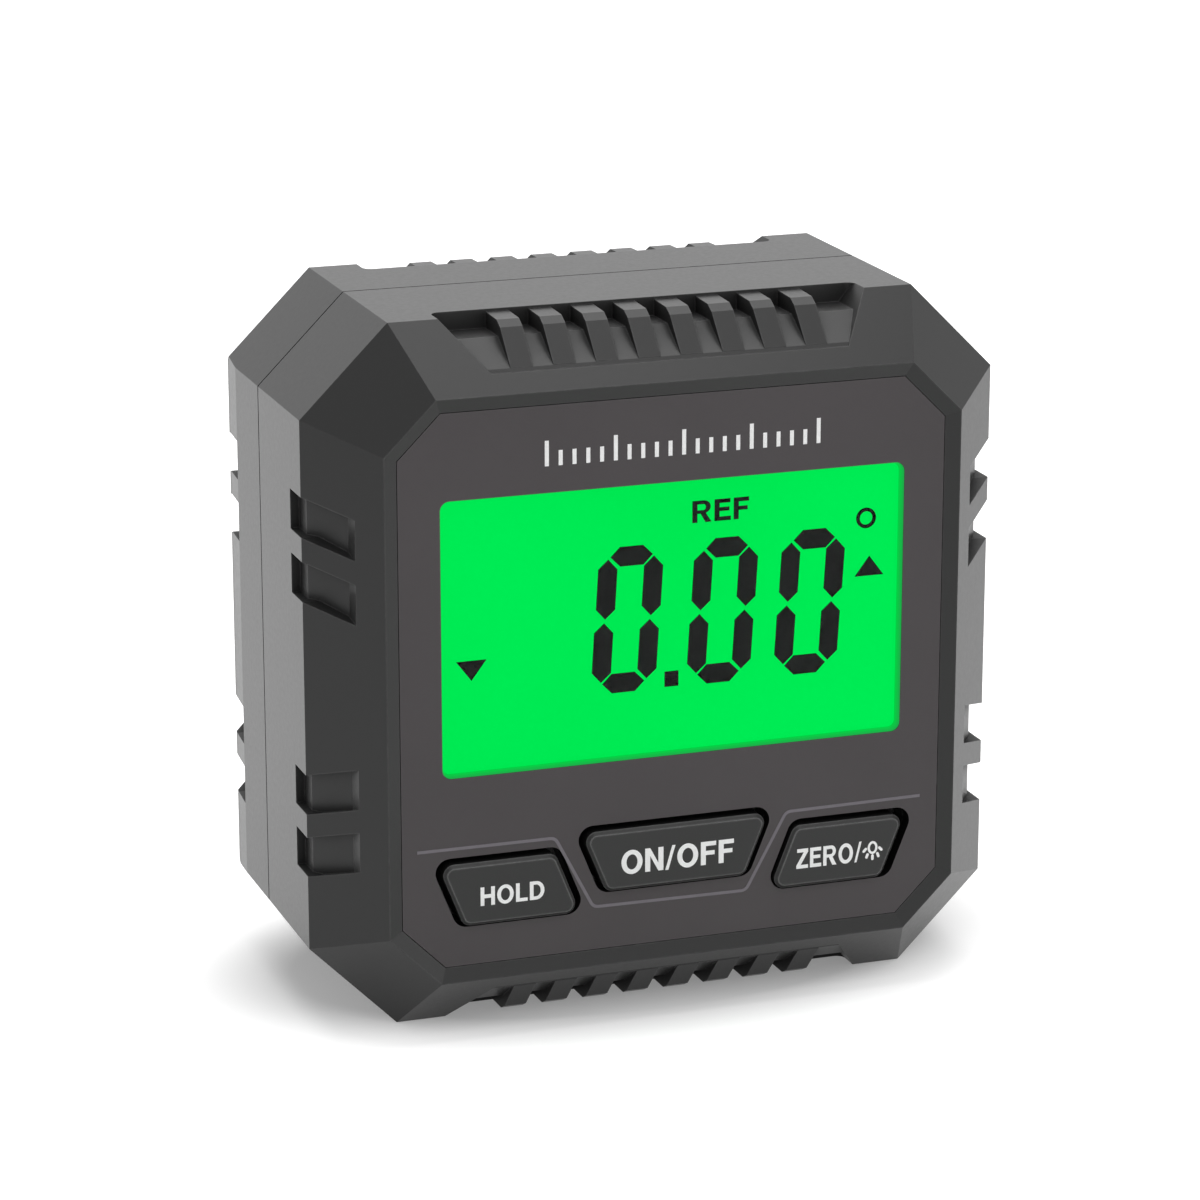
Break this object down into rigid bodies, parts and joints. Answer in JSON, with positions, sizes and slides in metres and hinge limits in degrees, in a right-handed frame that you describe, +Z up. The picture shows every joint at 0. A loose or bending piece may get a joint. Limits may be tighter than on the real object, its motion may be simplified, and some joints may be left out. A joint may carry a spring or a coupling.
{
  "type": "digital angle gauge",
  "caption": "Square box-shaped digital angle gauge with chamfered corners, a lit display, three press keys, ribbed finger grips and a rear battery door.",
  "frame": {"origin": "centre of the flat base, half way between the front rim and the rear face", "axes": "+X to the right seen from the front, the display faces -Y, +Z up"},
  "size_m": [0.06, 0.035, 0.0595],
  "materials": {
    "case_plastic": "fine satin moulded",
    "panel_plastic": "satin printed sheet",
    "key_plastic": "satin, printed white",
    "lens": "clear",
    "lcd": "lit display glass",
    "lcd_ink": "dark segment",
    "guide_clear": "clear moulded",
    "guide_white": "white moulded",
    "led_body": "moulded",
    "strip_rubber": "layered",
    "board": "solder resist",
    "chip": "moulded",
    "can_steel": "plated",
    "switch_plastic": "moulded",
    "plunger_plastic": "moulded",
    "cell_jacket": "plain jacket",
    "contact_steel": "nickel plated",
    "lead_red": "insulated wire",
    "lead_black": "insulated wire",
    "screw_steel": "zinc plated",
    "magnet_plate": "nickel plated"
  },
  "bodies": {
    "case": {"front_case": "case_plastic", "rear_case": "case_plastic", "face_panel": "panel_plastic", "display_lens": "lens", "display_glass": "lcd", "display_segments": "lcd_ink", "light_guide": "guide_clear", "guide_frame": "guide_white", "backlight_leds": "led_body", "contact_strip": "strip_rubber", "circuit_board": "board", "controller_chip": "chip", "tilt_sensor": "chip", "timing_crystal": "can_steel", "sounder": "chip", "hold_switch": "switch_plastic", "power_switch": "switch_plastic", "zero_switch": "switch_plastic", "battery_upper": "cell_jacket", "battery_lower": "cell_jacket", "bridge_contact": "contact_steel", "positive_contact": "contact_steel", "negative_contact": "contact_steel", "spring_upper": "contact_steel", "spring_lower": "contact_steel", "positive_lead": "lead_red", "negative_lead": "lead_black", "case_screws": "screw_steel", "board_screws": "screw_steel", "magnet_front_left": "magnet_plate", "magnet_front_right": "magnet_plate", "magnet_rear_left": "magnet_plate", "magnet_rear_right": "magnet_plate"},
    "hold": {"hold_key": "key_plastic", "hold_plunger": "plunger_plastic"},
    "power": {"power_key": "key_plastic", "power_plunger": "plunger_plastic"},
    "zero": {"zero_key": "key_plastic", "zero_plunger": "plunger_plastic"},
    "door": {"battery_door": "case_plastic"}
  },
  "joints": [
    {"name": "hold_press", "type": "slide", "parent": "case", "child": "hold", "axis": [0, 1, 0], "range_m": [0, 0.00035], "stiffness_N_per_m": 600},
    {"name": "power_press", "type": "slide", "parent": "case", "child": "power", "axis": [0, 1, 0], "range_m": [0, 0.00035], "stiffness_N_per_m": 600},
    {"name": "zero_press", "type": "slide", "parent": "case", "child": "zero", "axis": [0, 1, 0], "range_m": [0, 0.00035], "stiffness_N_per_m": 600},
    {"name": "door_hinge", "type": "hinge", "parent": "case", "child": "door", "pos_m": [0, 0.0175, 0.01738], "axis": [-1, 0, 0], "range_deg": [0, 60]}
  ]
}
